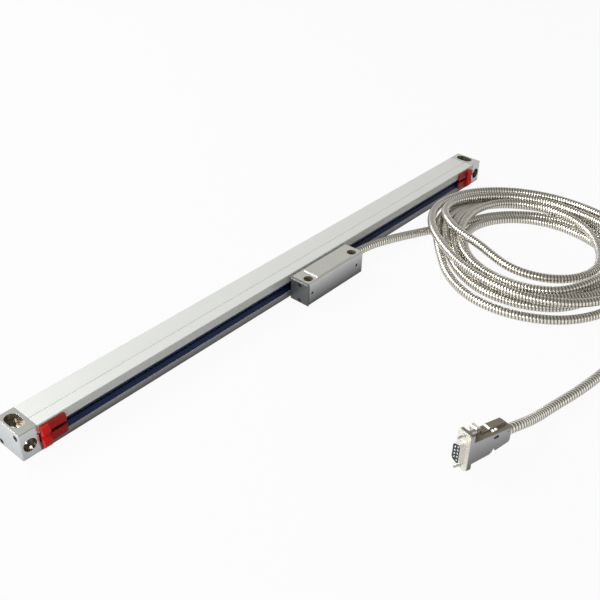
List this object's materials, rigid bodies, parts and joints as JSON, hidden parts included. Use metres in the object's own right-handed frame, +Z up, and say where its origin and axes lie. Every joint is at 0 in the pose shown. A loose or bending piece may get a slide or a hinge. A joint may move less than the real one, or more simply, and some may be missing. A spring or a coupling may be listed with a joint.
{
  "type": "linear glass scale",
  "caption": "Enclosed linear encoder: a slotted aluminium scale with a sliding reader head, two transit brackets, and an armoured cable coiled up to a D connector.",
  "frame": {"origin": "centre of the underside of the scale with its reader head, on the surface it lies on", "axes": "+X along the scale, -Y towards the reader head and the cable, +Z up"},
  "size_m": [0.603, 0.2942, 0.0317],
  "materials": {
    "extrusion": "natural anodised, satin",
    "lip_rubber": "smooth, dark blue",
    "scale_glass": "polished, chrome graduations",
    "cushion_rubber": "matt",
    "end_cap_metal": "satin plated, bright cut edges",
    "screw_steel": "plated",
    "bracket_red": "moulded, glossy",
    "head_metal": "satin plated casting",
    "blade_steel": "brushed",
    "carriage_metal": "machined",
    "roller_steel": "ground",
    "circuit_board": "solder mask",
    "cable_armour": "corrugated steel hose",
    "cable_bundle": "corrugated hose in turns",
    "shell_metal": "tin plated",
    "insulator_plastic": "dark moulded",
    "contact_gold": "gold plated",
    "hood_metal": "metallised satin"
  },
  "bodies": {
    "root": {"housing_extrusion": "extrusion", "upper_lip_seal": "lip_rubber", "lower_lip_seal": "lip_rubber", "glass_scale": "scale_glass", "glass_cushion": "cushion_rubber", "left_end_cap": "end_cap_metal", "right_end_cap": "end_cap_metal", "left_end_gasket": "cushion_rubber", "right_end_gasket": "cushion_rubber", "left_cap_screws": "screw_steel", "right_cap_screws": "screw_steel"},
    "left_bracket": {"left_transit_bracket": "bracket_red"},
    "right_bracket": {"right_transit_bracket": "bracket_red"},
    "reader_head": {"head_housing": "head_metal", "head_rear_plate": "blade_steel", "rear_plate_screws": "screw_steel", "head_end_cover": "head_metal", "end_cover_gasket": "cushion_rubber", "end_cover_screws": "screw_steel", "sealing_blade": "blade_steel", "blade_clamp": "blade_steel", "coupling_rod": "screw_steel", "head_circuit_board": "circuit_board", "cable_ferrule": "cable_armour", "scanning_carriage": "carriage_metal", "roller_pins": "screw_steel", "light_source_board": "circuit_board", "collimating_lens": "scale_glass", "index_grating": "scale_glass", "detector_board": "circuit_board", "cable_head_tail": "cable_armour", "cable_coil": "cable_bundle", "cable_plug_tail": "cable_armour", "connector_shell": "shell_metal", "connector_insulator": "insulator_plastic", "connector_contacts": "contact_gold", "near_hood_half": "hood_metal", "far_hood_half": "hood_metal", "hood_screws": "screw_steel"},
    "lower_left_roller": {"lower_left_roller": "roller_steel"},
    "lower_right_roller": {"lower_right_roller": "roller_steel"},
    "upper_roller": {"upper_roller": "roller_steel"},
    "left_edge_roller": {"left_edge_roller": "roller_steel"},
    "right_edge_roller": {"right_edge_roller": "roller_steel"},
    "lower_jackscrew": {"lower_jackscrew": "screw_steel"},
    "upper_jackscrew": {"upper_jackscrew": "screw_steel"}
  },
  "joints": [
    {"name": "head_slide", "type": "slide", "parent": "root", "child": "reader_head", "axis": [1, 0, 0], "range_m": [-0.236, 0.185]},
    {"name": "left_bracket_pull", "type": "slide", "parent": "root", "child": "left_bracket", "axis": [0, -1, 0], "range_m": [0, 0.012]},
    {"name": "right_bracket_pull", "type": "slide", "parent": "root", "child": "right_bracket", "axis": [0, 1, 0], "range_m": [-0.012, 0]},
    {"name": "lower_left_roller_spin", "type": "hinge", "parent": "reader_head", "child": "lower_left_roller", "pos_m": [0.0025, 0.01075, 0.01125], "axis": [0, 0, 1], "range_deg": [-5500, 5500]},
    {"name": "lower_right_roller_spin", "type": "hinge", "parent": "reader_head", "child": "lower_right_roller", "pos_m": [0.0325, 0.01075, 0.01125], "axis": [0, 0, 1], "range_deg": [-5500, 5500]},
    {"name": "upper_roller_spin", "type": "hinge", "parent": "reader_head", "child": "upper_roller", "pos_m": [0.0175, 0.01075, 0.017], "axis": [0, 0, 1], "range_deg": [-5500, 5500]},
    {"name": "left_edge_roller_spin", "type": "hinge", "parent": "reader_head", "child": "left_edge_roller", "pos_m": [0.0045, 0.0144, 0.00695], "axis": [0, 1, 0], "range_deg": [-5500, 5500]},
    {"name": "right_edge_roller_spin", "type": "hinge", "parent": "reader_head", "child": "right_edge_roller", "pos_m": [0.0305, 0.0144, 0.00695], "axis": [0, 1, 0], "range_deg": [-5500, 5500]},
    {"name": "lower_jackscrew_turn", "type": "hinge", "parent": "reader_head", "child": "lower_jackscrew", "pos_m": [-0.09905, -0.23257, 0.0036], "axis": [0.954, -0.2917, -0.0698], "continuous": true},
    {"name": "upper_jackscrew_turn", "type": "hinge", "parent": "reader_head", "child": "upper_jackscrew", "pos_m": [-0.09682, -0.2312, 0.02846], "axis": [0.954, -0.2917, -0.0698], "continuous": true}
  ],
  "couplings": [
    {"joint": "lower_left_roller_spin", "follows": "head_slide", "rad_per_m": 400},
    {"joint": "lower_right_roller_spin", "follows": "head_slide", "rad_per_m": 400},
    {"joint": "upper_roller_spin", "follows": "head_slide", "rad_per_m": 400},
    {"joint": "left_edge_roller_spin", "follows": "head_slide", "rad_per_m": -400},
    {"joint": "right_edge_roller_spin", "follows": "head_slide", "rad_per_m": -400}
  ]
}
